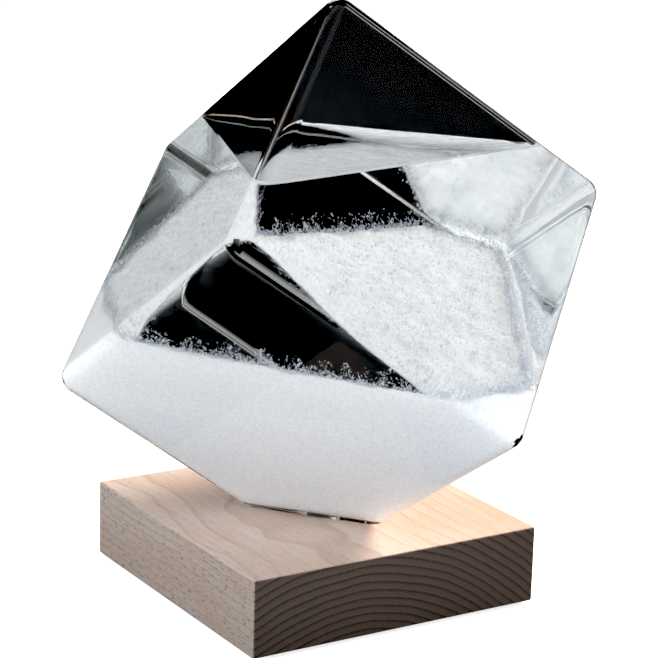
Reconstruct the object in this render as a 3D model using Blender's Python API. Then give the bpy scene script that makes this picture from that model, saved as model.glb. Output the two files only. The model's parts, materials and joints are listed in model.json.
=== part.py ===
"""Storm glass: a hollow glass cube of camphor solution, standing on one cut corner in a beech block.

The origin is where the vessel's upright axis meets the table, +Z is up. The vessel turns on that
axis and lifts off its seat, a silicone ring let into the top of the block.
"""

import math

import bmesh
import bpy
from mathutils import Matrix, Vector

MM = 0.001

# Driving dimensions of the block
BLOCK_WIDTH = 80.0 * MM
BLOCK_THICKNESS = 19.4 * MM
BLOCK_EDGE = 0.4 * MM
BLOCK_CENTRE_X = -2.9 * MM  # the pocket is a little off the middle of the block
BLOCK_CENTRE_Y = 1.4 * MM

# Driving dimensions of the vessel
CUBE_SIDE = 84.7 * MM
CUBE_FILLET = 4.5 * MM
WALL = 1.5 * MM
CAVITY_FILLET = 3.0 * MM
FLOOR = 1.6 * MM
FACET_HEIGHT = 16.7 * MM  # of the bottom corner that is cut off, along the upright axis
FILL_HOLE_RADIUS = 5.0 * MM
NEAR_CORNER_AZIMUTH = math.radians(219.0)  # of the upper ring's corner that faces the viewer

# What the vessel holds
AIR_DEPTH = 40.5 * MM  # from the cube's sharp top corner down to the liquid's surface
CRYSTAL_DEPTH = 44.9 * MM  # of all the crystals on the axis, above the cavity's floor
CRYSTAL_SLOPE = math.radians(5.3)  # the crystals settled a little higher on one side
CRYSTAL_HIGH_SIDE = math.radians(154.0)  # azimuth of that side
FROND_DEPTH = 4.0 * MM  # of the loose feathery crystals that lie on the packed ones

# Seat, stopper and feet
RING_WIDTH = 2.7 * MM
RING_THICKNESS = 1.5 * MM
FLANGE_LIP = 2.0 * MM  # how far the stopper's flange reaches past the fill hole
FLANGE_THICKNESS = 1.6 * MM
FLANGE_CLEARANCE = 1.1 * MM  # all round, between the stopper's flange and the ring
POCKET_SPARE_DEPTH = 0.8 * MM  # under the stopper's flange
FOOT_RADIUS = 4.0 * MM
FOOT_THICKNESS = 1.4 * MM
FOOT_PROUD = 0.8 * MM  # how far a foot stands out of the block's underside
FOOT_INSET = 11.0 * MM  # of a foot's centre from the block's two nearest sides

GAP = 0.3 * MM  # between pieces that touch
ROUND_SIDES = 48
FOOT_SIDES = 32
FILLET_STEPS = 3
CUTTER_SPARE = 2.0 * MM

# Heights that follow from the sizes above
BLOCK_BOTTOM = FOOT_PROUD
BLOCK_TOP = BLOCK_BOTTOM + BLOCK_THICKNESS
FACET_Z = BLOCK_TOP + GAP
CUBE_CENTRE_Z = FACET_Z - FACET_HEIGHT + math.sqrt(3) * CUBE_SIDE / 2
TOP_CORNER_Z = CUBE_CENTRE_Z + math.sqrt(3) * CUBE_SIDE / 2
CAVITY_FLOOR_Z = FACET_Z + FLOOR
LEVEL_Z = TOP_CORNER_Z - AIR_DEPTH
CRYSTAL_TOP_Z = CAVITY_FLOOR_Z + CRYSTAL_DEPTH
RING_TOP_Z = FACET_Z - GAP
LEDGE_Z = RING_TOP_Z - RING_THICKNESS - GAP
FLANGE_RADIUS = FILL_HOLE_RADIUS + FLANGE_LIP
FLANGE_TOP_Z = FACET_Z - GAP
RING_INNER_RADIUS = FLANGE_RADIUS + FLANGE_CLEARANCE
RING_OUTER_RADIUS = RING_INNER_RADIUS + RING_WIDTH
POCKET_RADIUS = RING_INNER_RADIUS - GAP
POCKET_Z = FLANGE_TOP_Z - FLANGE_THICKNESS - POCKET_SPARE_DEPTH


def clear_scene():
    for thing in list(bpy.data.objects):
        bpy.data.objects.remove(thing)


def finish(name, colour, roughness, alpha=1.0, transmission=0.0):
    """A Principled material for one kind of piece."""
    material = bpy.data.materials.new(name)
    material.use_nodes = True
    shader = material.node_tree.nodes["Principled BSDF"]
    shader.inputs["Base Color"].default_value = (*colour, 1.0)
    shader.inputs["Roughness"].default_value = roughness
    shader.inputs["Metallic"].default_value = 0.0
    shader.inputs["Transmission Weight"].default_value = transmission
    shader.inputs["Alpha"].default_value = alpha
    return material


def piece(name, bm, material=None, parent=None, smooth=True):
    """Turns a bmesh in world coordinates into a named object under its joint's empty."""
    bmesh.ops.recalc_face_normals(bm, faces=bm.faces)
    mesh = bpy.data.meshes.new(name)
    bm.to_mesh(mesh)
    bm.free()
    thing = bpy.data.objects.new(name, mesh)
    bpy.context.collection.objects.link(thing)
    if material:
        mesh.materials.append(material)
    if smooth:
        mesh.shade_smooth()
        mesh.set_sharp_from_angle(angle=math.radians(35.0))
    if parent:
        mesh.transform(Matrix.Translation(-parent.matrix_world.translation))
        thing.parent = parent
    return thing


def joint_empty(name, height, parent=None):
    """An empty on the vessel's axis, at a height above the table."""
    empty = bpy.data.objects.new(name, None)
    bpy.context.collection.objects.link(empty)
    empty.parent = parent
    below = parent.matrix_world.translation.z if parent else 0.0
    empty.location = (0.0, 0.0, height - below)
    bpy.context.view_layer.update()
    return empty


def cutter(thing):
    thing.hide_render = True
    thing.display_type = "WIRE"
    return thing


def subtract(thing, tool):
    cut = thing.modifiers.new(f"cut_{tool.name}", "BOOLEAN")
    cut.operation = "DIFFERENCE"
    cut.solver = "EXACT"
    cut.object = cutter(tool)


def disc(radius, low, high, centre=(0.0, 0.0), sides=ROUND_SIDES, edge=0.0):
    """An upright cylinder between two heights, its rims eased by a small bevel."""
    bm = bmesh.new()
    bmesh.ops.create_cone(
        bm, cap_ends=True, segments=sides, radius1=radius, radius2=radius, depth=high - low
    )
    bmesh.ops.translate(bm, vec=(centre[0], centre[1], (low + high) / 2), verts=bm.verts)
    if edge:
        rims = [e for e in bm.edges if abs(e.verts[0].co.z - e.verts[1].co.z) < MM * 0.01]
        bmesh.ops.bevel(bm, geom=rims, offset=edge, segments=2, affect="EDGES", profile=0.5)
    return bm


def turned(profile, sides=ROUND_SIDES):
    """Spins a closed (radius, height) outline once round the vessel's axis."""
    bm = bmesh.new()
    ring = [bm.verts.new((radius, 0.0, height)) for radius, height in profile]
    outline = [bm.edges.new((a, b)) for a, b in zip(ring, ring[1:] + ring[:1])]
    bmesh.ops.spin(
        bm, geom=ring + outline, cent=(0, 0, 0), axis=(0, 0, 1),
        angle=math.tau, steps=sides, use_merge=True,
    )
    bmesh.ops.remove_doubles(bm, verts=bm.verts, dist=0.001 * MM)
    return bm


def standing_cube(side, fillet):
    """A cube on its corner, with rounded edges, about the vessel's own centre."""
    bm = bmesh.new()
    bmesh.ops.create_cube(bm, size=side)
    bmesh.ops.bevel(
        bm, geom=bm.edges[:], offset=fillet, segments=FILLET_STEPS, affect="EDGES", profile=0.5
    )
    upright = Vector((1, 1, 1)).rotation_difference(Vector((0, 0, 1))).to_matrix().to_4x4()
    first_corner = math.radians(45.0)  # where that rotation leaves a corner of the upper ring
    facing = Matrix.Rotation(NEAR_CORNER_AZIMUTH - first_corner, 4, "Z")
    place = Matrix.Translation((0.0, 0.0, CUBE_CENTRE_Z))
    bmesh.ops.transform(bm, matrix=place @ facing @ upright, verts=bm.verts)
    return bm


def cut_away(bm, point, outward):
    """Removes what lies past a plane and closes the cut with one flat face."""
    geometry = bm.verts[:] + bm.edges[:] + bm.faces[:]
    cut = bmesh.ops.bisect_plane(
        bm, geom=geometry, plane_co=point, plane_no=outward, clear_outer=True, dist=0.0001 * MM
    )
    rim = [e for e in cut["geom_cut"] if isinstance(e, bmesh.types.BMEdge)]
    bmesh.ops.edgeloop_fill(bm, edges=rim)


def contents(spacing):
    """The cavity's shape, smaller all round by a spacing."""
    return standing_cube(CUBE_SIDE - 2 * (WALL + spacing), CAVITY_FILLET - spacing)


def crystal_plane(above):
    """A point on the crystals' sloping top, raised by a distance, and its upward normal."""
    side = Vector((math.cos(CRYSTAL_HIGH_SIDE), math.sin(CRYSTAL_HIGH_SIDE), 0.0))
    normal = Vector((0, 0, 1)) * math.cos(CRYSTAL_SLOPE) - side * math.sin(CRYSTAL_SLOPE)
    return Vector((0, 0, CRYSTAL_TOP_Z)) + normal * above, normal


def make_block(wood):
    bm = bmesh.new()
    bmesh.ops.create_cube(bm, size=1.0)
    bmesh.ops.scale(bm, vec=(BLOCK_WIDTH, BLOCK_WIDTH, BLOCK_THICKNESS), verts=bm.verts)
    middle = (BLOCK_CENTRE_X, BLOCK_CENTRE_Y, (BLOCK_BOTTOM + BLOCK_TOP) / 2)
    bmesh.ops.translate(bm, vec=middle, verts=bm.verts)
    bmesh.ops.bevel(bm, geom=bm.edges[:], offset=BLOCK_EDGE, segments=1, affect="EDGES")
    block = piece("wood_base", bm, wood, smooth=False)
    above = BLOCK_TOP + CUTTER_SPARE
    seat = turned([
        (0.0, POCKET_Z), (POCKET_RADIUS, POCKET_Z), (POCKET_RADIUS, LEDGE_Z),
        (RING_OUTER_RADIUS + GAP, LEDGE_Z), (RING_OUTER_RADIUS + GAP, above), (0.0, above),
    ])
    subtract(block, piece("seat_cutter", seat))
    for number, (x, y) in enumerate(foot_places(), 1):
        recess_top = FOOT_THICKNESS + GAP
        recess = disc(FOOT_RADIUS + GAP, BLOCK_BOTTOM - CUTTER_SPARE, recess_top, (x, y), FOOT_SIDES)
        subtract(block, piece(f"foot_cutter_{number}", recess))


def foot_places():
    reach = BLOCK_WIDTH / 2 - FOOT_INSET
    return [
        (BLOCK_CENTRE_X + reach * x, BLOCK_CENTRE_Y + reach * y)
        for x, y in ((-1, -1), (1, -1), (1, 1), (-1, 1))
    ]


def make_feet(silicone):
    for number, (x, y) in enumerate(foot_places(), 1):
        foot = disc(FOOT_RADIUS, 0.0, FOOT_THICKNESS, (x, y), FOOT_SIDES, edge=0.3 * MM)
        piece(f"foot_{number}", foot, silicone)


def make_seat_ring(silicone, turn):
    low = RING_TOP_Z - RING_THICKNESS
    ease = 0.3 * MM
    ring = turned([
        (RING_INNER_RADIUS, low), (RING_OUTER_RADIUS, low), (RING_OUTER_RADIUS, RING_TOP_Z - ease),
        (RING_OUTER_RADIUS - ease, RING_TOP_Z), (RING_INNER_RADIUS + ease, RING_TOP_Z),
        (RING_INNER_RADIUS, RING_TOP_Z - ease),
    ])
    piece("seat_ring", ring, silicone, turn)


def make_vessel(glass, lift):
    outside = standing_cube(CUBE_SIDE, CUBE_FILLET)
    cut_away(outside, (0, 0, FACET_Z), (0, 0, -1))
    vessel = piece("glass_vessel", outside, glass, lift)
    inside = contents(0.0)
    cut_away(inside, (0, 0, CAVITY_FLOOR_Z), (0, 0, -1))
    subtract(vessel, piece("cavity_cutter", inside))
    hole = disc(FILL_HOLE_RADIUS, FACET_Z - CUTTER_SPARE, CAVITY_FLOOR_Z + CUTTER_SPARE)
    subtract(vessel, piece("fill_hole_cutter", hole))


def make_stopper(silicone, lift):
    plug = FILL_HOLE_RADIUS - GAP
    end = CAVITY_FLOOR_Z - GAP
    ease = 0.4 * MM
    low = FLANGE_TOP_Z - FLANGE_THICKNESS
    stopper = turned([
        (0.0, low), (FLANGE_RADIUS - ease, low), (FLANGE_RADIUS, low + ease),
        (FLANGE_RADIUS, FLANGE_TOP_Z), (plug, FLANGE_TOP_Z), (plug, end - ease),
        (plug - ease, end), (0.0, end),
    ])
    piece("stopper", stopper, silicone, lift)


def make_liquid(solution, lift):
    liquid = contents(GAP)
    cut_away(liquid, (0, 0, LEVEL_Z), (0, 0, 1))
    point, upward = crystal_plane(above=GAP)
    cut_away(liquid, point, -upward)
    piece("storm_liquid", liquid, solution, lift)


def make_crystals(camphor, lift):
    bed = contents(GAP)
    cut_away(bed, (0, 0, CAVITY_FLOOR_Z + GAP), (0, 0, -1))
    cut_away(bed, *crystal_plane(above=-FROND_DEPTH))
    piece("crystal_bed", bed, camphor, lift)
    fronds = contents(GAP)
    cut_away(fronds, *crystal_plane(above=0.0))
    point, upward = crystal_plane(above=GAP - FROND_DEPTH)
    cut_away(fronds, point, -upward)
    piece("crystal_fronds", fronds, camphor, lift)


def main():
    clear_scene()
    wood = finish("beech", (0.62, 0.45, 0.33), 0.55)
    silicone = finish("clear_silicone", (0.85, 0.86, 0.86), 0.35, alpha=0.6)
    glass = finish("borosilicate_glass", (0.95, 0.97, 0.98), 0.02, alpha=0.35, transmission=1.0)
    solution = finish("camphor_solution", (0.9, 0.94, 0.97), 0.02, alpha=0.35, transmission=1.0)
    camphor = finish("camphor_crystals", (0.93, 0.95, 0.97), 0.8)
    turn = joint_empty("vessel_turn_axis", LEDGE_Z)
    lift = joint_empty("vessel_lift_axis", FACET_Z, turn)
    make_block(wood)
    make_feet(silicone)
    make_seat_ring(silicone, turn)
    make_vessel(glass, lift)
    make_stopper(silicone, lift)
    make_liquid(solution, lift)
    make_crystals(camphor, lift)


main()
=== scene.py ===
"""Storm glass: a hollow glass cube standing on one cut corner in a beech block.

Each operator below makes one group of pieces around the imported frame, which it never moves. The
frame is in metres and +Z is up. Its origin is where the vessel's upright axis meets the table.
"""

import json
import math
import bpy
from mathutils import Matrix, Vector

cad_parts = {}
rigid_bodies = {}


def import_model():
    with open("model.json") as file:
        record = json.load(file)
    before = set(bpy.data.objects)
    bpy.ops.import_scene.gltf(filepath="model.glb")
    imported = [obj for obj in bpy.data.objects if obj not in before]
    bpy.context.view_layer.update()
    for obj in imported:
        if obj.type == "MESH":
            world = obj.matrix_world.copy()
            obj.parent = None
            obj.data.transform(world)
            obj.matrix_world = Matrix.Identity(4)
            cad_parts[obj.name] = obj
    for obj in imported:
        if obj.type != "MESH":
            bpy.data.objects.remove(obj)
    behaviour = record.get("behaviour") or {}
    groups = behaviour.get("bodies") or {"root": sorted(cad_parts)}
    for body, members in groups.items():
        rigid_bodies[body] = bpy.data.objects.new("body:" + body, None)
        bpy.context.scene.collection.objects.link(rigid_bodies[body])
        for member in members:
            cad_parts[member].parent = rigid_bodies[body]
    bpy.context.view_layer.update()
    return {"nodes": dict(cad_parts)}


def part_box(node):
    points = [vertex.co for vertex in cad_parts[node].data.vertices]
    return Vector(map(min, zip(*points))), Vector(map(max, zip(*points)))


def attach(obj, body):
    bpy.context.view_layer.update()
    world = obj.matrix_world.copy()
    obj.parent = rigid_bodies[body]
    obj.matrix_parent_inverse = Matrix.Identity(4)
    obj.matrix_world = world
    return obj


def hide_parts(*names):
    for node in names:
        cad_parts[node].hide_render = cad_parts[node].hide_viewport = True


bl_info = {
    "name": "Storm Glass",
    "version": (1, 0, 0),
    "blender": (4, 5, 0),
    "location": "3D View > Sidebar > Storm Glass",
    "description": "Builds a storm glass, its beech block and a small studio",
    "category": "Object",
}

import bmesh
import bpy
import numpy as np
from bpy.props import FloatProperty, FloatVectorProperty, IntProperty, PointerProperty
from mathutils import Matrix, Vector

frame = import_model()

MM = 0.001
DEG = math.pi / 180

# What the frame says about where the pieces are
BLOCK_LOW, BLOCK_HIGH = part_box("wood_base")
VESSEL_LOW, VESSEL_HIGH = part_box("glass_vessel")
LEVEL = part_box("storm_liquid")[1].z  # of the solution, where it is flat
RING_LOW, RING_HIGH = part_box("seat_ring")
PLUG_LOW, PLUG_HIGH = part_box("stopper")
GAP = VESSEL_LOW.z - BLOCK_HIGH.z  # the clearance that touching pieces keep
POCKET_SPARE = 0.8 * MM  # depth of the pocket under the stopper
CUTTER_SPARE = 1 * MM  # how far a cutting shape stands out of what it cuts
TOUCHING = 0.01 * MM  # two places no further apart than this are the same

NEAR_CORNER = 219 * DEG  # azimuth of the upper ring's corner that faces the viewer
HIGH_SIDE = 154 * DEG  # azimuth of the side where the crystals settled higher
CRYSTAL_SLOPE = 5.3 * DEG  # of the crystals' top towards that side
CRYSTAL_TOP = 67.0 * MM  # height of the crystals' top on the axis
GLANCE = 0.15  # share of the mirror image that clean glass keeps when it is faced squarely


def linear(code):
    """An sRGB hex colour as linear red, green and blue."""
    parts = [int(code[i:i + 2], 16) / 255 for i in (1, 3, 5)]
    return tuple(c / 12.92 if c <= 0.04045 else ((c + 0.055) / 1.055) ** 2.4 for c in parts)


# ---------------------------------------------------------------- sizes and colours


def length(name, description, default):
    return FloatProperty(name=name, description=description, default=default, unit="LENGTH")


def colour(name, description, code):
    return FloatVectorProperty(
        name=name, description=description, default=linear(code), subtype="COLOR", size=3,
        min=0.0, max=1.0,
    )


class BlockSettings(bpy.types.PropertyGroup):
    edge: length("Edge", "Radius of the block's eased edges", 0.55 * MM)
    ring_spacing: length("Growth rings", "Distance between two growth rings", 2.0 * MM)
    pith_depth: length("Pith", "Depth of the tree's centre below the block's middle", 60 * MM)
    fleck_length: length("Flecks", "Length of the pores seen along the grain", 2.2 * MM)
    wood: colour("Beech", "Sawn and lightly sanded beech, along the grain", "#dccabd")
    wood_late: colour("Late wood", "The darker wood that closes each ring", "#c9b2a4")
    pore: colour("Pores", "Pores and rays cut along the grain", "#8f7468")
    end_wood: colour("End grain", "Beech cut across the grain", "#a5968c")
    end_late: colour("End grain rings", "Late wood cut across the grain", "#695c55")


class SealSettings(bpy.types.PropertyGroup):
    lip: length("Lip", "Radius of the silicone's moulded edges", 0.5 * MM)
    silicone: colour("Silicone", "Clear moulded silicone", "#e4e7e8")
    stopper: colour("Stopper", "White moulded silicone", "#f1f1ee")


class VesselSettings(bpy.types.PropertyGroup):
    fillet: length("Edge radius", "Outer radius of the cube's edges", 4.5 * MM)
    wall: length("Wall", "Thickness of the glass", 1.5 * MM)
    inner_fillet: length("Inner radius", "Radius of the cavity's edges", 3.0 * MM)
    floor: length("Floor", "Thickness of the glass at the cut corner", 1.6 * MM)
    fill_hole: length("Fill hole", "Radius of the hole at the cut corner", 5.0 * MM)
    foot_edge: length("Foot edge", "Ground edge round the flat that it stands on", 0.7 * MM)
    waves: length("Waves", "How far the moulded faces wander from flat", 0.12 * MM)
    wave_size: length("Wave size", "Width of those waves", 26 * MM)
    cuts: IntProperty(name="Cuts", description="Cuts across each face", default=11, min=1, max=30)
    index: FloatProperty(name="Glass index", description="Index of the glass", default=1.5)
    glass: colour("Glass", "Borosilicate glass", "#fbfdfd")


class SolutionSettings(bpy.types.PropertyGroup):
    clearance: length("Clearance", "Between the solution and the glass", 0.1 * MM)
    meniscus: length("Meniscus", "How far the solution climbs the wall", 1.4 * MM)
    reach: length("Reach", "Distance over which the meniscus flattens", 1.6 * MM)
    index: FloatProperty(name="Index", description="Index of camphor in spirit", default=1.36)
    solution: colour("Solution", "Camphor dissolved in spirit and water", "#fcfdff")


class CrystalSettings(bpy.types.PropertyGroup):
    clearance: length("Clearance", "Between the packed crystals and the glass", 0.15 * MM)
    cover: length("Cover", "Depth of the fronds on the packed crystals", 0.8 * MM)
    grain: length("Grain", "Spacing of the points on the packed crystals", 0.65 * MM)
    drift: length("Drift", "Height of the drifts on the packed crystals", 1.5 * MM)
    frond: length("Frond", "Length of a common frond", 0.5 * MM)
    big_frond: length("Big frond", "Length of the fronds that cling to the walls", 0.95 * MM)
    climb: length("Climb", "Mean height that fronds climb the walls", 1.25 * MM)
    clump: length("Clump", "Distance between two clumps of wall fronds", 7 * MM)
    count: IntProperty(name="Fronds", description="Fronds on the surface", default=15000)
    wall_count: IntProperty(name="Wall fronds", description="Fronds on the walls", default=13600)
    seed: IntProperty(name="Seed", description="Order of the fronds", default=7)
    camphor: colour("Camphor", "Fine white camphor crystals", "#f7f9fc")
    # painted shade: a darker tint for the crystals low in the vessel, where less light from above reaches
    shaded: colour("Shaded", "Tint of the crystals pressed hard low in the vessel", "#e2e1df")


class StudioSettings(bpy.types.PropertyGroup):
    lens: FloatProperty(name="Lens", description="Focal length in millimetres", default=130.09)
    table: FloatProperty(name="Light table", description="Brightness of the lit floor", default=0.8)
    floor: colour("Floor", "Pale studio floor", "#f4f4f4")
    backdrop: colour("Backdrop", "Pale studio wall", "#fdfdfd")


# ---------------------------------------------------------------- modelling helpers


def only(*things):
    """Selects these objects and no others. The first one is active."""
    bpy.ops.object.select_all(action="DESELECT")
    for thing in things:
        thing.select_set(True)
    bpy.context.view_layer.objects.active = things[0]


def begin(name):
    """Takes the primitive that was just added, alone, into edit mode."""
    thing = bpy.context.object
    thing.name = thing.data.name = name
    only(thing)
    bpy.ops.object.mode_set(mode="EDIT")
    return thing


def pick_edges(wanted):
    """In edit mode, selects the edges that pass a test, and no others."""
    bpy.ops.mesh.select_all(action="DESELECT")
    bpy.ops.mesh.select_mode(type="EDGE")
    mesh = bpy.context.object.data
    bm = bmesh.from_edit_mesh(mesh)
    for edge in bm.edges:
        if wanted(edge):
            edge.select_set(True)
    bm.select_flush_mode()
    bmesh.update_edit_mesh(mesh)


def done():
    bpy.ops.object.mode_set(mode="OBJECT")


def middle(edge):
    return sum((v.co for v in edge.verts), Vector()) / len(edge.verts)


def apply_all(thing):
    """Applies a thing's modifiers in order."""
    only(thing)
    for modifier in list(thing.modifiers):
        bpy.ops.object.modifier_apply(modifier=modifier.name)


def cut_out(thing, tool):
    """Takes the tool's shape out of the thing, and the tool away."""
    cut = thing.modifiers.new("cut", "BOOLEAN")
    cut.operation = "DIFFERENCE"
    cut.solver = "EXACT"
    cut.object = tool
    apply_all(thing)
    bpy.data.objects.remove(tool)


def smooth(thing, angle=35 * DEG):
    only(thing)
    bpy.ops.object.shade_smooth_by_angle(angle=angle)


def give(thing, body, slot, *replaced):
    """Lets a finished piece ride on its body, in place of CAD nodes."""
    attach(thing, body)
    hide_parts(*replaced)


def cylinder(name, radius, low, high, centre=(0.0, 0.0), sides=64):
    bpy.ops.mesh.primitive_cylinder_add(
        vertices=sides, radius=radius, depth=high - low,
        location=(centre[0], centre[1], (low + high) / 2),
    )
    thing = bpy.context.object
    thing.name = name
    return thing


def turned(name, outline, sides=96):
    """Spins a list of (radius, height) points once round the vessel's axis."""
    bpy.ops.mesh.primitive_circle_add(vertices=len(outline), radius=1.0)
    thing = begin(name)
    bm = bmesh.from_edit_mesh(thing.data)
    bm.verts.ensure_lookup_table()
    for vert, (radius, height) in zip(bm.verts, outline):
        vert.co = (radius, 0.0, height)
    bmesh.update_edit_mesh(thing.data)
    bpy.ops.mesh.select_all(action="SELECT")
    bpy.ops.mesh.spin(steps=sides, angle=math.tau, center=(0, 0, 0), axis=(0, 0, 1))
    bpy.ops.mesh.select_all(action="SELECT")
    bpy.ops.mesh.remove_doubles(threshold=0.002 * MM)
    bpy.ops.mesh.normals_make_consistent(inside=False)
    done()
    return thing


def rounded_outline(corners, radius, steps=5):
    """An outline's (radius, height) corners, each rounded unless it lies on the axis."""
    points = []
    for i, corner in enumerate(corners):
        here = Vector(corner)
        if here.x == 0.0:
            points.append(corner)
            continue
        before = (Vector(corners[i - 1]) - here).normalized()
        after = (Vector(corners[(i + 1) % len(corners)]) - here).normalized()
        for k in range(steps + 1):
            t = k / steps
            a, b, c = here + before * radius, here, here + after * radius
            point = a * (1 - t) ** 2 + b * 2 * t * (1 - t) + c * t ** 2
            points.append((point.x, point.y))
    return points


def points_of(thing):
    flat = np.empty(len(thing.data.vertices) * 3)
    thing.data.vertices.foreach_get("co", flat)
    return flat.reshape(-1, 3)


def put_points(thing, points):
    thing.data.vertices.foreach_set("co", points.astype(np.float32).ravel())
    thing.data.update()


# ---------------------------------------------------------------- the cube


def cube_side(fillet):
    """The glass cube's side, from the vessel's width along Y.

    The corners that reach furthest along Y are 60 degrees past the near one, and each lies
    sqrt(2/3) of a side from the axis.
    """
    to_centre = (VESSEL_HIGH.y - VESSEL_LOW.y) / 2 - fillet
    return 2 * fillet + to_centre / (math.sqrt(2 / 3) * abs(math.sin(NEAR_CORNER + 60 * DEG)))


def cube_centre(fillet):
    """Height of the cube's centre, from the vessel's highest point."""
    sharp_corner = VESSEL_HIGH.z + fillet * (math.sqrt(3) - 1)
    return sharp_corner - math.sqrt(3) / 2 * cube_side(fillet)


def standing(vessel):
    """The matrix that stands a cube on its corner at its place in the vessel."""
    upright = Vector((1, 1, 1)).rotation_difference(Vector((0, 0, 1))).to_matrix().to_4x4()
    facing = Matrix.Rotation(NEAR_CORNER - 45 * DEG, 4, "Z")
    return Matrix.Translation((0, 0, cube_centre(vessel.fillet))) @ facing @ upright


def standing_cube(name, vessel, side, fillet):
    """A cube with round edges and finely divided faces, stood on its corner."""
    bpy.ops.mesh.primitive_cube_add(size=side)
    thing = begin(name)
    bpy.ops.mesh.subdivide(number_cuts=vessel.cuts)
    near = side / 2 - TOUCHING
    pick_edges(lambda edge: sum(abs(x) > near for x in middle(edge)) == 2)
    bpy.ops.mesh.bevel(offset=fillet, segments=8, affect="EDGES", profile=0.5)
    done()
    only(thing)
    thing.matrix_world = standing(vessel)
    bpy.ops.object.transform_apply(location=True, rotation=True, scale=True)
    return thing


def bisect(thing, point, outward, take_off=True):
    """Cuts a thing along a plane, and as a rule takes off what lies past it and closes the cut."""
    only(thing)
    bpy.ops.object.mode_set(mode="EDIT")
    bpy.ops.mesh.select_all(action="SELECT")
    bpy.ops.mesh.bisect(plane_co=point, plane_no=outward, use_fill=take_off, clear_outer=take_off)
    done()


def ripple(thing, strength, size):
    """Moves a surface in and out by a soft noise."""
    texture = bpy.data.textures.new(f"{thing.name}_waves", "CLOUDS")
    texture.noise_scale = size
    texture.noise_depth = 1
    waves = thing.modifiers.new("waves", "DISPLACE")
    waves.texture = texture
    waves.texture_coords = "LOCAL"
    waves.direction = "NORMAL"
    waves.strength = strength
    waves.mid_level = 0.5
    apply_all(thing)


def wall_normals(vessel):
    """Outward normals of the standing cube's six faces, as an array."""
    turn = standing(vessel).to_3x3()
    return np.array([turn @ Vector(axis) * sign for axis in Matrix.Identity(3) for sign in (1, -1)])


def keep_inside(points, vessel, side):
    """Presses points that stand outside a cube back onto its faces."""
    centre = np.array((0.0, 0.0, cube_centre(vessel.fillet)))
    for normal in wall_normals(vessel):
        past = (points - centre) @ normal - side / 2
        points -= np.outer(np.maximum(past, 0.0), normal)
    return points


# ---------------------------------------------------------------- materials


def add(tree, kind, inputs=(), **options):
    """Adds a node with its options. Each input is a value, or another node's output to link."""
    made = tree.nodes.new(kind)
    for name, value in options.items():
        setattr(made, name, value)
    for name, value in dict(inputs).items():
        socket = made.inputs[name]
        if isinstance(value, bpy.types.NodeSocket):
            tree.links.new(value, socket)
        else:
            socket.default_value = value
    return made


def material(name):
    made = bpy.data.materials.new(name)
    made.use_nodes = True
    made.node_tree.nodes.clear()
    return made, made.node_tree


def surface(tree, shader):
    add(tree, "ShaderNodeOutputMaterial", {"Surface": shader})


def ramp(tree, source, stops):
    """A colour ramp of (position, colour) stops."""
    made = add(tree, "ShaderNodeValToRGB", {"Fac": source})
    elements = made.color_ramp.elements
    while len(elements) < len(stops):
        elements.new(0.5)
    for element, (position, shade) in zip(elements, stops):
        element.position = position
        element.color = (*shade, 1.0)
    return made.outputs["Color"]


def blend(tree, factor, first, second, mode="MIX"):
    """Mixes two colours."""
    made = add(tree, "ShaderNodeMix", {0: factor, 6: first, 7: second}, data_type="RGBA", blend_type=mode)
    return made.outputs[2]


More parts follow.
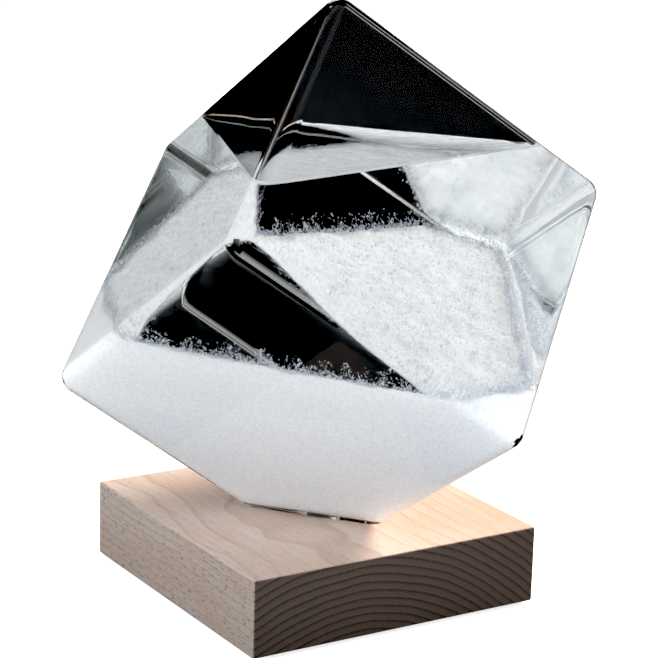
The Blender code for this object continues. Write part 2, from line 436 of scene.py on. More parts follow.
def beech(block):
    """Sawn beech, sanded but not oiled: pale pinkish long grain with short brown flecks, and end
    grain that drinks light, with fine growth rings and pale rays."""
    made, tree = material("sanded_beech")
    place = add(tree, "ShaderNodeTexCoord")
    position, normal = place.outputs["Object"], place.outputs["Normal"]

    # growth rings: distance from the tree's centre, which runs along Y below the block. They
    # wander over 36 mm.
    pith = ((BLOCK_LOW.z + BLOCK_HIGH.z) / 2) - block.pith_depth
    wander = add(tree, "ShaderNodeTexNoise", {"Vector": position, "Scale": 28.0, "Detail": 2.0})
    pushed = add(
        tree, "ShaderNodeVectorMath",
        {0: wander.outputs["Color"], 1: (0.0045, 0.0, 0.0045), 2: position}, operation="MULTIPLY_ADD",
    )
    centred = add(
        tree, "ShaderNodeMapping",
        {"Vector": pushed.outputs[0], "Location": (14 * MM, 0.0, -pith), "Scale": (1.0, 0.0, 1.0)},
    )
    radius = add(tree, "ShaderNodeVectorMath", {0: centred.outputs[0]}, operation="LENGTH")
    rings = add(
        tree, "ShaderNodeMath", {0: radius.outputs["Value"], 1: block.ring_spacing}, operation="DIVIDE"
    )
    age = add(tree, "ShaderNodeMath", {0: rings.outputs[0]}, operation="FRACT")

    # pores and rays: noise drawn out along the grain. They are 0.4 mm across, coarser than real
    # ones, so that they show. Patches of colour are 22 mm wide and fibres 0.7 by 25 mm.
    stretched = add(
        tree, "ShaderNodeMapping",
        {"Vector": position, "Scale": (2400.0, 1.0 / block.fleck_length, 2400.0)},
    )
    pores = add(tree, "ShaderNodeTexNoise", {"Vector": stretched.outputs[0], "Scale": 1.0, "Detail": 1.0})
    flecks = ramp(tree, pores.outputs["Fac"], [(0.60, (0, 0, 0)), (0.68, (1, 1, 1))])
    patches = add(tree, "ShaderNodeTexNoise", {"Vector": position, "Scale": 45.0, "Detail": 3.0})
    fibre_place = add(
        tree, "ShaderNodeMapping", {"Vector": position, "Scale": (1500.0, 40.0, 1500.0)}
    )
    fibres = add(
        tree, "ShaderNodeTexNoise", {"Vector": fibre_place.outputs[0], "Scale": 1.0, "Detail": 2.0}
    )

    late = ramp(
        tree, age.outputs[0],
        [(0.0, (0, 0, 0)), (0.75, (0.25,) * 3), (0.95, (1, 1, 1)), (1.0, (0, 0, 0))],
    )
    long_grain = blend(tree, late, (*block.wood, 1), (*block.wood_late, 1))
    tinted = blend(
        tree, ramp(tree, patches.outputs["Fac"], [(0.35, (0, 0, 0)), (0.7, (0.55,) * 3)]),
        long_grain, (*linear("#dcb9a4"), 1),
    )
    fibred = blend(tree, 0.22, tinted, fibres.outputs["Fac"], "OVERLAY")
    facing = add(tree, "ShaderNodeSeparateXYZ", {0: normal})
    side_on = add(tree, "ShaderNodeMath", {0: facing.outputs["X"]}, operation="ABSOLUTE")
    fleck_depth = add(
        tree, "ShaderNodeMapRange", {"Value": side_on.outputs[0], "To Min": 0.16, "To Max": 0.62}
    )
    fleck_share = add(
        tree, "ShaderNodeMath", {0: flecks, 1: fleck_depth.outputs[0]}, operation="MULTIPLY"
    )
    flecked = blend(tree, fleck_share.outputs[0], fibred, (*block.pore, 1))

    # end grain, with pores 0.4 mm across, again coarser than real ones
    vessels = add(tree, "ShaderNodeTexNoise", {"Vector": position, "Scale": 2600.0, "Detail": 2.0})
    specks = ramp(tree, vessels.outputs["Fac"], [(0.5, (0, 0, 0)), (0.72, (1, 1, 1))])
    end_ring = ramp(
        tree, age.outputs[0],
        [(0.0, (0.1,) * 3), (0.55, (0.25,) * 3), (0.9, (1, 1, 1)), (1.0, (0.1,) * 3)],
    )
    end_tone = blend(tree, end_ring, (*block.end_wood, 1), (*block.end_late, 1))
    end_speck = blend(
        tree, add(tree, "ShaderNodeMath", {0: specks, 1: 0.45}, operation="MULTIPLY").outputs[0],
        end_tone, (*linear("#b3a194"), 1),
    )
    along = add(tree, "ShaderNodeMath", {0: facing.outputs["Y"]}, operation="ABSOLUTE")
    is_end = ramp(tree, along.outputs[0], [(0.6, (0, 0, 0)), (0.85, (1, 1, 1))])
    colours = blend(tree, is_end, flecked, end_speck)

    height = add(
        tree, "ShaderNodeMath", {0: flecks, 1: -0.8, 2: fibres.outputs["Fac"]}, operation="MULTIPLY_ADD"
    )
    bump = add(
        tree, "ShaderNodeBump", {"Height": height.outputs[0], "Strength": 0.35, "Distance": 0.12 * MM}
    )
    shader = add(
        tree, "ShaderNodeBsdfPrincipled",
        {"Base Color": colours, "Roughness": 0.62, "Normal": bump.outputs[0], "IOR": 1.5},
    )
    surface(tree, shader.outputs[0])
    return made


def silicone(name, tint, clear):
    """Moulded silicone: a soft satin skin that lets some light through, with 1 mm smudges."""
    made, tree = material(name)
    place = add(tree, "ShaderNodeTexCoord").outputs["Object"]
    dust = add(tree, "ShaderNodeTexNoise", {"Vector": place, "Scale": 900.0, "Detail": 2.0})
    rough = add(
        tree, "ShaderNodeMapRange", {"Value": dust.outputs["Fac"], "To Min": 0.3, "To Max": 0.5}
    )
    bump = add(
        tree, "ShaderNodeBump", {"Height": dust.outputs["Fac"], "Strength": 0.08, "Distance": 0.05 * MM}
    )
    shader = add(
        tree, "ShaderNodeBsdfPrincipled",
        {
            "Base Color": (*tint, 1), "Roughness": rough.outputs[0], "IOR": 1.41,
            "Transmission Weight": clear, "Subsurface Weight": 0.2, "Subsurface Scale": 1.5 * MM,
            "Normal": bump.outputs[0],
        },
    )
    surface(tree, shader.outputs[0])
    return made


def clear_to_lamps(tree, shader):
    """Lets lamps and stray light straight through, so that they reach what is inside."""
    path = add(tree, "ShaderNodeLightPath")
    passes = add(
        tree, "ShaderNodeMath",
        {0: path.outputs["Is Shadow Ray"], 1: path.outputs["Is Diffuse Ray"]}, operation="MAXIMUM",
    )
    through = add(tree, "ShaderNodeBsdfTransparent")
    mixed = add(
        tree, "ShaderNodeMixShader", {0: passes.outputs[0], 1: shader, 2: through.outputs[0]}
    )
    surface(tree, mixed.outputs[0])


def clear(name, tint, index):
    """Polished, fire-smooth glass or a still liquid."""
    made, tree = material(name)
    shader = add(
        tree, "ShaderNodeBsdfPrincipled",
        {
            "Base Color": (*tint, 1), "Roughness": 0.0, "IOR": index, "Transmission Weight": 1.0,
            "Specular Tint": (GLANCE, GLANCE, GLANCE, 1),
        },
    )
    clear_to_lamps(tree, shader.outputs[0])
    return made


def unseen(name):
    """Where the solution wets the glass: the glass's own wall bends the light there."""
    made, tree = material(name)
    surface(tree, add(tree, "ShaderNodeBsdfTransparent").outputs[0])
    return made


def camphor(crystals):
    """Fine camphor crystals packed like wet snow: matt, bright, and lit from within. The grit is
    0.7 mm, and low in the vessel the crystals are painted a little darker: painted shade, for the light
    from above that fades on its way down."""
    made, tree = material("camphor_crystals")
    place = add(tree, "ShaderNodeTexCoord").outputs["Object"]
    grit = add(
        tree, "ShaderNodeTexNoise", {"Vector": place, "Scale": 1400.0, "Detail": 3.0, "Roughness": 0.6}
    )
    speckled = ramp(tree, grit.outputs["Fac"], [(0.3, linear("#e6eaf0")), (0.6, crystals.camphor[:])])
    height = add(tree, "ShaderNodeSeparateXYZ", {0: place}).outputs["Z"]
    # painted shade: from 30 mm to 52 mm up, the colour goes from the darker shaded tint to white, as if
    # lit from above
    lit_from_above = add(
        tree, "ShaderNodeMapRange", {"Value": height, "From Min": 30 * MM, "From Max": 52 * MM}
    )
    tone = blend(tree, lit_from_above.outputs[0], (*crystals.shaded, 1), (1, 1, 1, 1))
    tone = blend(tree, 1.0, speckled, tone, "MULTIPLY")
    bump = add(
        tree, "ShaderNodeBump", {"Height": grit.outputs["Fac"], "Strength": 0.25, "Distance": 0.3 * MM}
    )
    shader = add(
        tree, "ShaderNodeBsdfPrincipled",
        {
            "Base Color": tone, "Roughness": 0.85, "IOR": 1.5, "Specular IOR Level": 0.2,
            "Subsurface Weight": 1.0, "Subsurface Radius": (1.0, 1.0, 1.0),
            "Subsurface Scale": 7.0 * MM, "Normal": bump.outputs[0],
        },
    )
    surface(tree, shader.outputs[0])
    return made


def feather(crystals):
    """Single feathery crystals: thin, white and half clear, in drifts of tone 4 mm wide."""
    made, tree = material("camphor_fronds")
    place = add(tree, "ShaderNodeTexCoord").outputs["Object"]
    drifts = add(tree, "ShaderNodeTexNoise", {"Vector": place, "Scale": 260.0, "Detail": 2.0})
    tone = ramp(tree, drifts.outputs["Fac"], [(0.35, linear("#dbe0e7")), (0.65, linear("#f0f2f5"))])
    shader = add(
        tree, "ShaderNodeBsdfPrincipled", {"Base Color": tone, "Roughness": 0.5, "IOR": 1.5}
    )
    soft = add(tree, "ShaderNodeBsdfTranslucent", {"Color": tone})
    mixed = add(tree, "ShaderNodeMixShader", {0: 0.25, 1: shader.outputs[0], 2: soft.outputs[0]})
    surface(tree, mixed.outputs[0])
    return made


# ---------------------------------------------------------------- pieces


class STORMGLASS_OT_block(bpy.types.Operator):
    """Makes the beech block with its pocket and the recesses for its feet"""

    bl_idname = "stormglass.block"
    bl_label = "Beech block"

    def execute(self, context):
        block = context.scene.storm_block
        bpy.ops.object.select_all(action="DESELECT")
        bpy.ops.mesh.primitive_cube_add(size=1.0, location=(BLOCK_LOW + BLOCK_HIGH) / 2)
        thing = begin("beech_block")
        bpy.ops.transform.resize(value=BLOCK_HIGH - BLOCK_LOW)
        bpy.ops.mesh.bevel(offset=block.edge, segments=4, affect="EDGES", profile=0.5)
        done()
        only(thing)
        bpy.ops.object.transform_apply(location=True, rotation=True, scale=True)
        above = BLOCK_HIGH.z + CUTTER_SPARE
        ledge = RING_LOW.z - GAP
        seat = cylinder("seat", RING_HIGH.x + GAP, ledge, above, sides=96)
        cut_out(thing, seat)
        pocket_floor = PLUG_LOW.z - POCKET_SPARE
        pocket = cylinder("pocket", ring_inner_radius() - GAP, pocket_floor, above, sides=96)
        cut_out(thing, pocket)
        for number in (1, 2, 3, 4):
            low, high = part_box(f"foot_{number}")
            centre = (low + high) / 2
            radius = (high.x - low.x) / 2 + GAP
            recess = cylinder("recess", radius, low.z - CUTTER_SPARE, high.z + GAP, centre[:2])
            cut_out(thing, recess)
        smooth(thing)
        thing.data.materials.clear()
        thing.data.materials.append(beech(block))
        give(thing, "base", "beech", "wood_base")
        return {"FINISHED"}


def ring_inner_radius():
    """The smallest distance of the seat ring's points from the vessel's axis."""
    return min(math.hypot(v.co.x, v.co.y) for v in frame["nodes"]["seat_ring"].data.vertices)


class STORMGLASS_OT_seals(bpy.types.Operator):
    """Makes the silicone seat, the stopper and the feet"""

    bl_idname = "stormglass.seals"
    bl_label = "Seat, stopper and feet"

    def execute(self, context):
        seals = context.scene.storm_seals
        clear_rubber = silicone("clear_silicone", seals.silicone, 0.75)
        white_rubber = silicone("white_silicone", seals.stopper, 0.0)
        inner, outer = ring_inner_radius(), RING_HIGH.x
        ring = turned("seat_seal", rounded_outline(
            [(inner, RING_LOW.z), (outer, RING_LOW.z), (outer, RING_HIGH.z), (inner, RING_HIGH.z)],
            seals.lip,
        ))
        plug_radius = context.scene.storm_vessel.fill_hole - GAP
        flange, flange_top = PLUG_HIGH.x, VESSEL_LOW.z - GAP
        stopper = turned("fill_stopper", rounded_outline(
            [
                (0.0, PLUG_LOW.z), (flange, PLUG_LOW.z), (flange, flange_top),
                (plug_radius, flange_top), (plug_radius, PLUG_HIGH.z), (0.0, PLUG_HIGH.z),
            ],
            seals.lip,
        ))
        for thing, rubber in ((ring, clear_rubber), (stopper, white_rubber)):
            smooth(thing)
            thing.data.materials.append(rubber)
        give(ring, "seat", "clear_silicone", "seat_ring")
        give(stopper, "vessel", "white_silicone", "stopper")
        for number in (1, 2, 3, 4):
            low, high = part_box(f"foot_{number}")
            centre, radius = (low + high) / 2, (high.x - low.x) / 2
            foot = turned(f"rubber_foot_{number}", rounded_outline(
                [(0.0, low.z), (radius, low.z), (radius, high.z), (0.0, high.z)], seals.lip,
            ), sides=48)
            foot.data.transform(Matrix.Translation((centre.x, centre.y, 0.0)))
            smooth(foot)
            foot.data.materials.append(clear_rubber)
            give(foot, "base", "clear_silicone", f"foot_{number}")
        return {"FINISHED"}


INNER_WAVES = 0.8  # size of the waves inside the glass, as a share of those outside


class STORMGLASS_OT_vessel(bpy.types.Operator):
    """Makes the hollow glass cube"""

    bl_idname = "stormglass.vessel"
    bl_label = "Glass vessel"

    def execute(self, context):
        vessel = context.scene.storm_vessel
        side = cube_side(vessel.fillet)
        bpy.ops.object.select_all(action="DESELECT")
        outer = standing_cube("glass_cube", vessel, side, vessel.fillet)
        ripple(outer, vessel.waves, vessel.wave_size)
        bisect(outer, (0, 0, VESSEL_LOW.z), (0, 0, -1))
        only(outer)
        bpy.ops.object.mode_set(mode="EDIT")
        near = VESSEL_LOW.z + TOUCHING
        pick_edges(lambda edge: all(v.co.z < near for v in edge.verts))
        bpy.ops.mesh.bevel(offset=vessel.foot_edge, segments=3, affect="EDGES", profile=0.5)
        done()
        inner = standing_cube("cavity", vessel, side - 2 * vessel.wall, vessel.inner_fillet)
        ripple(inner, vessel.waves, vessel.wave_size * INNER_WAVES)
        floor = VESSEL_LOW.z + vessel.floor
        bisect(inner, (0, 0, floor), (0, 0, -1))
        solution = context.scene.storm_solution
        level = LEVEL + solution.meniscus
        bisect(inner, (0, 0, level), (0, 0, 1), take_off=False)
        cut_out(outer, inner)
        hole = cylinder("hole", vessel.fill_hole, VESSEL_LOW.z - CUTTER_SPARE, floor + CUTTER_SPARE)
        cut_out(outer, hole)
        smooth(outer, 40 * DEG)
        outer.data.materials.clear()
        outer.data.materials.append(clear("borosilicate_glass", vessel.glass, vessel.index))
        outer.data.materials.append(
            clear("wetted_glass", vessel.glass, vessel.index / solution.index)
        )
        # the wetted faces are the cavity's, from its floor to where the solution ends
        cavity_reach = side / 2 - 0.75 * vessel.wall
        back = standing(vessel).inverted()
        for face in outer.data.polygons:
            in_cavity = max(abs(x) for x in back @ face.center) < cavity_reach
            face.material_index = int(in_cavity and floor - 0.1 * MM < face.center.z < level)
        give(outer, "vessel", "borosilicate_glass", "glass_vessel")
        return {"FINISHED"}


POOL_STEPS = 170  # divisions across the liquid's surface, enough for a smooth meniscus
ON_SURFACE = 0.15 * MM  # how close to the surface a face of the liquid lies to belong to it


class STORMGLASS_OT_solution(bpy.types.Operator):
    """Fills the vessel, with a meniscus where the solution climbs the wall"""

    bl_idname = "stormglass.solution"
    bl_label = "Solution"

    def surface_height(self, vessel, solution, points):
        """Height of the still surface at some points: flat, and curved up to each wall."""
        reach = cube_side(vessel.fillet) / 2 - vessel.wall
        centre = np.array((0.0, 0.0, cube_centre(vessel.fillet)))
        at = np.column_stack([points[:, :2], np.full(len(points), LEVEL)])
        flat = np.ones(len(points))
        for normal in wall_normals(vessel):
            if normal[2] > 0:
                away = (reach - (at - centre) @ normal) / math.hypot(normal[0], normal[1])
                flat *= 1 - np.exp(-np.maximum(away, 0.0) / solution.reach)
        return LEVEL + solution.meniscus * (1 - flat)

    def execute(self, context):
        vessel, solution = context.scene.storm_vessel, context.scene.storm_solution
        inner_side = cube_side(vessel.fillet) - 2 * (vessel.wall + solution.clearance)
        bpy.ops.object.select_all(action="DESELECT")
        liquid = standing_cube("solution", vessel, inner_side, vessel.inner_fillet - solution.clearance)
        ripple(liquid, vessel.waves, vessel.wave_size * INNER_WAVES)
        low = VESSEL_LOW.z + vessel.floor + solution.clearance
        bisect(liquid, (0, 0, low), (0, 0, -1))

        # a block of liquid whose top curves up at the walls, kept where it is inside the cavity
        width = VESSEL_HIGH.x - VESSEL_LOW.x
        bpy.ops.object.select_all(action="DESELECT")
        bpy.ops.mesh.primitive_grid_add(x_subdivisions=POOL_STEPS, y_subdivisions=POOL_STEPS, size=width)
        pool = begin("pool")
        bpy.ops.mesh.select_all(action="SELECT")
        bpy.ops.mesh.extrude_region_move(TRANSFORM_OT_translate={"value": (0, 0, low - LEVEL)})
        bpy.ops.mesh.select_all(action="SELECT")
        bpy.ops.mesh.normals_make_consistent(inside=False)
        done()
        points = points_of(pool)
        top = points[:, 2] > (low - LEVEL) / 2
        points[top, 2] = self.surface_height(vessel, solution, points[top])
        points[~top, 2] = low - CUTTER_SPARE
        put_points(pool, points)
        fill = liquid.modifiers.new("fill", "BOOLEAN")
        fill.operation = "INTERSECT"
        fill.solver = "EXACT"
        fill.object = pool
        apply_all(liquid)
        bpy.data.objects.remove(pool)
        smooth(liquid, 60 * DEG)
        liquid.data.materials.clear()
        liquid.data.materials.append(clear("camphor_in_spirit", solution.solution, solution.index))
        liquid.data.materials.append(unseen("wetted_side"))
        centres = np.array([face.center for face in liquid.data.polygons])
        off = np.abs(centres[:, 2] - self.surface_height(vessel, solution, centres))
        for face, distance in zip(liquid.data.polygons, off):
            face.material_index = 0 if distance < ON_SURFACE and face.normal.z > 0.2 else 1
        give(liquid, "vessel", "camphor_solution", "storm_liquid")
        return {"FINISHED"}


def frond_shape(name, pairs, lean, flat):
    """One feathery crystal a unit long: a thin spine with pairs of needles."""
    bpy.ops.object.select_all(action="DESELECT")
    # each needle's start on the spine, length, thickness, tilt and turn about the spine
    needles = [(0.0, 1.0, 0.06, 0.0, 0.0)]
    for pair in range(pairs):
        start = 0.12 + 0.62 * pair / pairs
        reach = 0.52 * (1 - 0.75 * pair / pairs)
        for hand in (1, -1):
            around = 0.0 if flat else pair * 1.9 + (0.7 if hand > 0 else 0.0)
            needles.append((start, reach, 0.055, hand * lean, around))
    parts = []
    for start, reach, thick, tilt, around in needles:
        bpy.ops.mesh.primitive_cone_add(vertices=3, radius1=thick, radius2=0.0, depth=reach)
        part = bpy.context.object
        lift = Matrix.Translation((0, 0, reach / 2))
        tip = Matrix.Rotation(around, 4, "Z") @ Matrix.Rotation(tilt, 4, "Y") @ lift
        part.data.transform(Matrix.Translation((0, 0, start)) @ tip)
        parts.append(part)
    only(*parts)
    bpy.ops.object.join()
    shape = bpy.context.object
    shape.name = name
    points = points_of(shape)
    corners = np.array([p.vertices[:] for p in shape.data.polygons])
    bpy.data.objects.remove(shape)
    return points, corners


def turned_frames(up, spin):
    """For each row, a rotation that brings +Z to that direction after a spin about +Z."""
    up = up / np.linalg.norm(up, axis=1)[:, None]
    helper = np.where(np.abs(up[:, 2:3]) > 0.9, (1.0, 0.0, 0.0), (0.0, 0.0, 1.0))
    side = np.cross(helper, up)
    side /= np.linalg.norm(side, axis=1)[:, None]
    other = np.cross(up, side)
    c, s = np.cos(spin)[:, None], np.sin(spin)[:, None]
    return np.stack([side * c + other * s, other * c - side * s, up], axis=2)


def sow(name, shape, roots, ups, sizes, spins, vessel, side, finish):
    """Copies one frond to many places, as a single piece inside the cavity."""
    points, corners = shape
    turns = turned_frames(ups, spins)
    grown = np.einsum("nij,pj->npi", turns, points) * sizes[:, None, None] + roots[:, None, :]
    every = keep_inside(grown.reshape(-1, 3), vessel, side)
    steps = np.arange(len(roots))[:, None, None] * len(points)
    faces = (corners[None] + steps).reshape(-1, 3)
    mesh = bpy.data.meshes.new(name)
    mesh.from_pydata(every, [], faces.tolist())
    thing = bpy.data.objects.new(name, mesh)
    bpy.context.collection.objects.link(thing)
    mesh.materials.append(finish)
    return thing


# Each drift's width, and its height as a share of the drift setting
DRIFTS = ((14 * MM, 1.3), (5 * MM, 0.8), (2 * MM, 0.7))
TOP_SKIN = 1.5 * MM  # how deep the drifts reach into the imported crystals
TOP_DEPTH = 4 * MM  # how far below the crystals' top a frond may take root
STEEPEST = 0.35  # upright part of the normal below which no frond takes root
WALL_STRIP = 2.2 * MM  # width of the strip beside the walls where fronds climb
CLIMB_LIMIT = 4.5 * MM  # the highest that a climbing frond's root stands
FROND_LIMIT = 5.5 * MM  # the highest that its tip reaches
FROND_CLEARANCE = 0.2 * MM  # between the fronds and the glass


class STORMGLASS_OT_crystals(bpy.types.Operator):
    """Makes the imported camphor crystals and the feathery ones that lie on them"""

    bl_idname = "stormglass.crystals"
    bl_label = "Crystals"

    def execute(self, context):
        vessel, crystals = context.scene.storm_vessel, context.scene.storm_crystals
        cavity = cube_side(vessel.fillet) - 2 * vessel.wall
        side = cavity - 2 * crystals.clearance
        bpy.ops.object.select_all(action="DESELECT")
        bed = standing_cube("camphor_bed", vessel, side, vessel.inner_fillet - 4 * crystals.clearance)
        floor = VESSEL_LOW.z + vessel.floor + crystals.clearance
        bisect(bed, (0, 0, floor), (0, 0, -1))
        lean = Vector((math.cos(HIGH_SIDE), math.sin(HIGH_SIDE), 0.0)) * math.sin(CRYSTAL_SLOPE)
        upward = Vector((0, 0, math.cos(CRYSTAL_SLOPE))) - lean
        surface_height = CRYSTAL_TOP - crystals.cover
        bisect(bed, (0, 0, surface_height), upward)
        remesh = bed.modifiers.new("grains", "REMESH")
        remesh.mode = "VOXEL"
        remesh.voxel_size = crystals.grain
        apply_all(bed)
        points = points_of(bed)
        rise = (points - (0, 0, surface_height)) @ np.array(upward)
        on_top = np.clip(1 + rise / TOP_SKIN, 0.0, 1.0)
        group = bed.vertex_groups.new(name="top")
        for index, weight in enumerate(on_top):
            if weight > 0:
                group.add([index], float(weight), "REPLACE")
        for width, strength in DRIFTS:
            drift = bed.modifiers.new("drift", "DISPLACE")
            drift.texture = bpy.data.textures.new("drift", "CLOUDS")
            drift.texture.noise_scale = width
            drift.texture.noise_depth = 2
            drift.texture_coords = "LOCAL"
            drift.direction = "Z"
            drift.vertex_group = "top"
            drift.strength = strength * crystals.drift
        apply_all(bed)
        put_points(bed, keep_inside(points_of(bed), vessel, side))
        bed.data.materials.clear()
        bed.data.materials.append(camphor(crystals))
        only(bed)
        bpy.ops.object.shade_smooth()
        give(bed, "vessel", "camphor_crystals", "crystal_bed")
        self.grow(context, bed, cavity, upward)
        return {"FINISHED"}

    def grow(self, context, bed, cavity, upward):
        """Sows fronds over the bed's top and up the walls beside it."""
        vessel, crystals = context.scene.storm_vessel, context.scene.storm_crystals
        chance = np.random.default_rng(crystals.seed)
        mesh = bed.data
        count = len(mesh.polygons)
        areas, centres, normals = np.empty(count), np.empty(count * 3), np.empty(count * 3)
        mesh.polygons.foreach_get("area", areas)
        mesh.polygons.foreach_get("center", centres)
        mesh.polygons.foreach_get("normal", normals)
        centres, normals = centres.reshape(-1, 3), normals.reshape(-1, 3)
        height = (centres - (0, 0, CRYSTAL_TOP)) @ np.array(upward)
        top = (normals[:, 2] > STEEPEST) & (height > -TOP_DEPTH)
        axis = np.array((0.0, 0.0, cube_centre(vessel.fillet)))
        away = np.min(cavity / 2 - (centres - axis) @ wall_normals(vessel).T, axis=1)
        finish = feather(crystals)
        side = cavity - 2 * FROND_CLEARANCE
        shapes = [
            frond_shape("fern", 3, 0.95, True), frond_shape("tuft", 3, 0.8, False),
            frond_shape("spray", 2, 0.6, False),
        ]

        share = areas * top
        chosen = chance.choice(count, crystals.count, p=share / share.sum())
        roots = centres[chosen] + chance.normal(0, 0.3 * MM, (crystals.count, 3))
        ups = normals[chosen] + np.array((0, 0, 0.5)) + chance.normal(0, 0.55, (crystals.count, 3))
        sizes = crystals.frond * np.exp(chance.normal(0, 0.38, crystals.count))
        spins = chance.uniform(0, math.tau, crystals.count)
        thirds = np.array_split(np.arange(crystals.count), 3)
        pieces = []
        for number, (shape, rows) in enumerate(zip(shapes, thirds), 1):
            pieces.append(sow(
                f"camphor_fronds_{number}", shape, roots[rows], ups[rows], sizes[rows], spins[rows],
                vessel, side, finish,
            ))

        edge = share * (away < WALL_STRIP)
        chosen = chance.choice(count, crystals.wall_count, p=edge / edge.sum())
        roots = centres[chosen] + chance.normal(0, 0.5 * MM, (crystals.wall_count, 3))
        climb = chance.exponential(1.0, crystals.wall_count) * clumps(roots, crystals, chance)
        climb = np.minimum(climb, CLIMB_LIMIT)
        roots[:, 2] += climb
        ups = np.array((0, 0, 1.0)) + chance.normal(0, 0.6, (crystals.wall_count, 3))
        sizes = crystals.big_frond * np.exp(chance.normal(-0.4, 0.4, crystals.wall_count))
        sizes = np.minimum(sizes, FROND_LIMIT - climb)
        spins = chance.uniform(0, math.tau, crystals.wall_count)
        halves = np.array_split(np.arange(crystals.wall_count), 2)
        for number, (shape, rows) in enumerate(zip(shapes, halves), 1):
            pieces.append(sow(
                f"camphor_wall_fronds_{number}", shape, roots[rows], ups[rows], sizes[rows],
                spins[rows], vessel, side, finish,
            ))
        give(pieces[0], "vessel", "camphor_crystals", "crystal_fronds")
        for piece in pieces[1:]:
            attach(piece, "vessel")


def clumps(places, crystals, chance):
    """How high fronds climb at some places: little almost everywhere, and much in scattered clumps."""
    swell = np.zeros(len(places))
    for finer in (1.0, 1.7, 2.9):
        ways = chance.normal(0, 1, (3, 3))
        ways /= np.linalg.norm(ways, axis=1)[:, None]
        phase = chance.uniform(0, math.tau, 3)
        swell += np.sin(math.tau * finer / crystals.clump * places @ ways.T + phase).sum(axis=1) / 3
    return crystals.climb * (0.25 + 1.5 * np.clip(swell + 0.3, 0.0, 1.5))


# ---------------------------------------------------------------- studio

CAMERA_PLACE = (-0.30168, -0.48010, 0.21859)
CAMERA_HEADING = -32.09 * DEG  # from +Y, about the upright
CAMERA_DROP = 15.09 * DEG  # how far it looks down
CAMERA_TILT = 1.63 * DEG  # about its own line of sight
BLACK_LEVEL = 0.03  # light up to this level shows as black, which keeps the dark glass clean
FLOOR_WIDTH = 1.7
FLOOR_BOUNCE = (0.12, 0.12, 0.13, 1.0)  # the floor's colour for the light that it sends back up

# The room as the glass and the solution see it: soft lit cards in a dark room. Each card is
# (azimuth, elevation, half width in degrees, softness, brightness).
CARDS = (
    (-20, -2, 29, 0.10, 0.90),
    (-66, -6, 30, 0.10, 0.88),
    (2, 44, 11, 0.04, 0.65),
    (-45, 74, 15, 0.05, 0.65),
    (130, 18, 34, 0.08, 0.60),
    (-172, -8, 30, 0.10, 0.48),
    (40, 12, 7, 0.03, 0.50),
)
CARD_COLOUR = (1.0, 0.99, 0.975, 1.0)
EVEN_COLOUR, EVEN_STRENGTH = (0.97, 0.98, 1.0, 1.0), 0.24  # light that reaches matt surfaces
WALL_STRENGTH = 1.1

LAMP_TARGET = 60 * MM  # height on the vessel's axis that every lamp faces

# Soft square lamps: name, azimuth, elevation, distance, size, watts, colour, and what each lights
LAMPS = (
    ("key", 14, 31, 1.1, 0.35, 27.0, (1.0, 0.87, 0.74), "others"),
    ("left_fill", 178, 38, 1.2, 0.8, 10.5, (0.83, 0.92, 1.0), "others"),
    ("crystal_key", 14, 33, 1.1, 0.5, 12.0, (1.0, 0.99, 0.97), "crystals"),
    ("crystal_left", 175, -8, 0.27, 0.08, 0.46, (0.98, 0.99, 1.0), "crystals"),
    ("crystal_back", 125, 30, 0.34, 0.12, 0.42, (1.0, 0.99, 0.98), "crystals"),
    ("crystal_right", -85, 2, 0.3, 0.12, 0.65, (0.90, 0.94, 1.0), "crystals"),
)


def direction(azimuth, elevation):
    """The way to a place in the studio, from its azimuth and elevation in degrees."""
    flat = math.cos(elevation * DEG)
    return Vector((
        flat * math.cos(azimuth * DEG), flat * math.sin(azimuth * DEG), math.sin(elevation * DEG),
    ))


def lamp(name, azimuth, elevation, distance, size, watts, tint):
    """A soft square lamp that faces the vessel and lights without being seen."""
    towards = direction(azimuth, elevation)
    data = bpy.data.lights.new(name, "AREA")
    data.shape = "SQUARE"
    data.size = size
    data.energy = watts
    data.color = tint
    thing = bpy.data.objects.new(name, data)
    bpy.context.collection.objects.link(thing)
    thing.location = Vector((0.0, 0.0, LAMP_TARGET)) + towards * distance
    thing.rotation_euler = towards.to_track_quat("Z", "Y").to_euler()
    thing.visible_camera = False
    thing.visible_transmission = False
    thing.visible_glossy = False
    return thing


def room(studio):
    """The world: a pale wall to the eye, even light for matt surfaces, cards for the glass."""
    world = bpy.data.worlds.new("studio_room")
    world.use_nodes = True
    tree = world.node_tree
    tree.nodes.clear()
    bpy.context.scene.world = world
    towards = add(tree, "ShaderNodeTexCoord").outputs["Generated"]
    total = None
    for azimuth, elevation, half, softness, brightness in CARDS:
        close = add(
            tree, "ShaderNodeVectorMath", {0: towards, 1: direction(azimuth, elevation)},
            operation="DOT_PRODUCT",
        )
        edge = math.cos(half * DEG)
        lit = add(
            tree, "ShaderNodeMapRange",
            {
                "Value": close.outputs["Value"], "From Min": edge - softness / 2,
                "From Max": edge + softness / 2, "To Min": 0.0, "To Max": brightness,
            },
            interpolation_type="SMOOTHSTEP",
        ).outputs[0]
        if total is None:
            total = lit
        else:
            total = add(tree, "ShaderNodeMath", {0: total, 1: lit}, operation="MAXIMUM").outputs[0]
    cards = add(tree, "ShaderNodeBackground", {"Color": CARD_COLOUR, "Strength": total})
    wall = add(tree, "ShaderNodeBackground", {"Color": (*studio.backdrop, 1), "Strength": WALL_STRENGTH})
    even = add(tree, "ShaderNodeBackground", {"Color": EVEN_COLOUR, "Strength": EVEN_STRENGTH})
    path = add(tree, "ShaderNodeLightPath")
    inner = add(
        tree, "ShaderNodeMixShader",
        {0: path.outputs["Is Diffuse Ray"], 1: cards.outputs[0], 2: even.outputs[0]},
    )
    outer = add(
        tree, "ShaderNodeMixShader",
        {0: path.outputs["Is Camera Ray"], 1: inner.outputs[0], 2: wall.outputs[0]},
    )
    add(tree, "ShaderNodeOutputWorld", {"Surface": outer.outputs[0]})


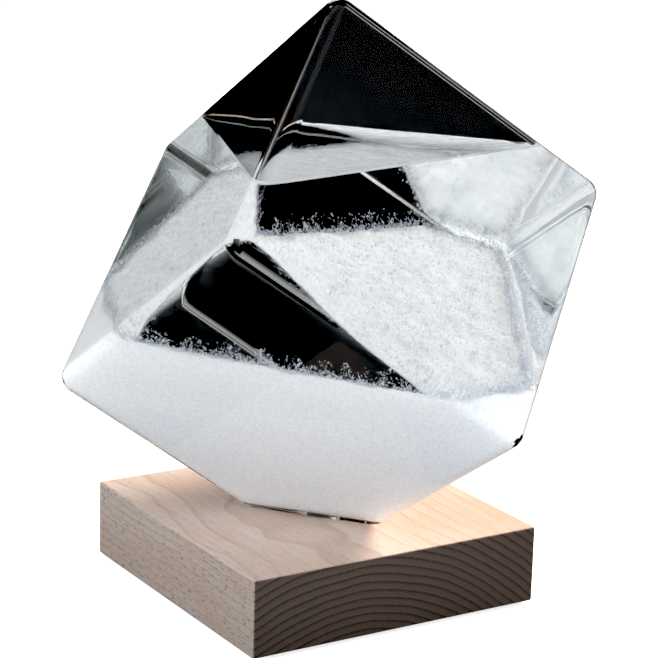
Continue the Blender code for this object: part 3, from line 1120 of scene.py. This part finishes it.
class STORMGLASS_OT_studio(bpy.types.Operator):
    """Sets up the pale floor, the lamps, the room and the camera"""

    bl_idname = "stormglass.studio"
    bl_label = "Studio"

    def execute(self, context):
        studio = context.scene.storm_studio
        bpy.ops.object.select_all(action="DESELECT")
        bpy.ops.mesh.primitive_plane_add(size=FLOOR_WIDTH, location=(0, 0, 0))
        floor = context.object
        floor.name = "studio_floor"
        made, tree = material("pale_floor")
        place = add(tree, "ShaderNodeTexCoord").outputs["Object"]
        grain = add(tree, "ShaderNodeTexNoise", {"Vector": place, "Scale": 6.0, "Detail": 2.0})
        tone = ramp(tree, grain.outputs["Fac"], [(0.3, studio.floor[:]), (0.7, linear("#f7f7f7"))])
        path = add(tree, "ShaderNodeLightPath")
        seen = blend(tree, path.outputs["Is Diffuse Ray"], tone, FLOOR_BOUNCE)
        shader = add(tree, "ShaderNodeBsdfDiffuse", {"Color": seen})
        glow = add(
            tree, "ShaderNodeMath", {0: path.outputs["Is Camera Ray"], 1: studio.table},
            operation="MULTIPLY",
        )
        lit = add(tree, "ShaderNodeEmission", {"Color": (1, 1, 1, 1), "Strength": glow.outputs[0]})
        both = add(tree, "ShaderNodeAddShader", {0: shader.outputs[0], 1: lit.outputs[0]})
        surface(tree, both.outputs[0])
        floor.data.materials.append(made)
        floor.visible_transmission = False
        floor.visible_glossy = False

        lit_things = {name: bpy.data.collections.new(name) for name in ("crystals", "others")}
        for thing in bpy.data.objects:
            if thing.type == "MESH":
                name = "crystals" if thing.name.startswith("camphor") else "others"
                lit_things[name].objects.link(thing)
        for *settings, lit in LAMPS:
            each = lamp(*settings)
            each.light_linking.receiver_collection = lit_things[lit]
        room(studio)

        scene = context.scene
        scene.view_settings.view_transform = "Standard"
        scene.view_settings.use_curve_mapping = True
        scene.view_settings.curve_mapping.black_level = (BLACK_LEVEL, BLACK_LEVEL, BLACK_LEVEL)
        scene.cycles.max_bounces = 32
        scene.cycles.transmission_bounces = 28
        scene.cycles.glossy_bounces = 20
        scene.cycles.transparent_max_bounces = 32
        scene.cycles.diffuse_bounces = 4

        camera = bpy.data.objects.new("camera", bpy.data.cameras.new("camera"))
        context.collection.objects.link(camera)
        camera.data.lens = studio.lens
        camera.data.sensor_width = 36.0
        camera.data.clip_start = 0.01
        level = Matrix.Rotation(90 * DEG, 4, "X")
        aim = (
            Matrix.Rotation(CAMERA_HEADING, 4, "Z") @ Matrix.Rotation(-CAMERA_DROP, 4, "X")
            @ Matrix.Rotation(-CAMERA_TILT, 4, "Y") @ level
        )
        camera.matrix_world = Matrix.Translation(CAMERA_PLACE) @ aim
        scene.camera = camera
        return {"FINISHED"}


class STORMGLASS_PT_panel(bpy.types.Panel):
    """Lists the storm glass's parts and their settings"""

    bl_idname = "STORMGLASS_PT_panel"
    bl_label = "Storm Glass"
    bl_space_type = "VIEW_3D"
    bl_region_type = "UI"
    bl_category = "Storm Glass"

    def draw(self, context):
        for operator, name, _ in PARTS:
            box = self.layout.box()
            box.operator(operator.bl_idname)
            settings = getattr(context.scene, name)
            for setting in settings.__annotations__:
                box.prop(settings, setting)


PARTS = (
    (STORMGLASS_OT_block, "storm_block", BlockSettings),
    (STORMGLASS_OT_seals, "storm_seals", SealSettings),
    (STORMGLASS_OT_vessel, "storm_vessel", VesselSettings),
    (STORMGLASS_OT_solution, "storm_solution", SolutionSettings),
    (STORMGLASS_OT_crystals, "storm_crystals", CrystalSettings),
    (STORMGLASS_OT_studio, "storm_studio", StudioSettings),
)


def register():
    for operator, name, settings in PARTS:
        bpy.utils.register_class(settings)
        setattr(bpy.types.Scene, name, PointerProperty(type=settings))
        bpy.utils.register_class(operator)
    bpy.utils.register_class(STORMGLASS_PT_panel)


def unregister():
    bpy.utils.unregister_class(STORMGLASS_PT_panel)
    for operator, name, settings in reversed(PARTS):
        bpy.utils.unregister_class(operator)
        delattr(bpy.types.Scene, name)
        bpy.utils.unregister_class(settings)


def main():
    register()
    bpy.ops.stormglass.block()
    bpy.ops.stormglass.seals()
    bpy.ops.stormglass.vessel()
    bpy.ops.stormglass.solution()
    bpy.ops.stormglass.crystals()
    bpy.ops.stormglass.studio()


if __name__ == "__main__":
    main()
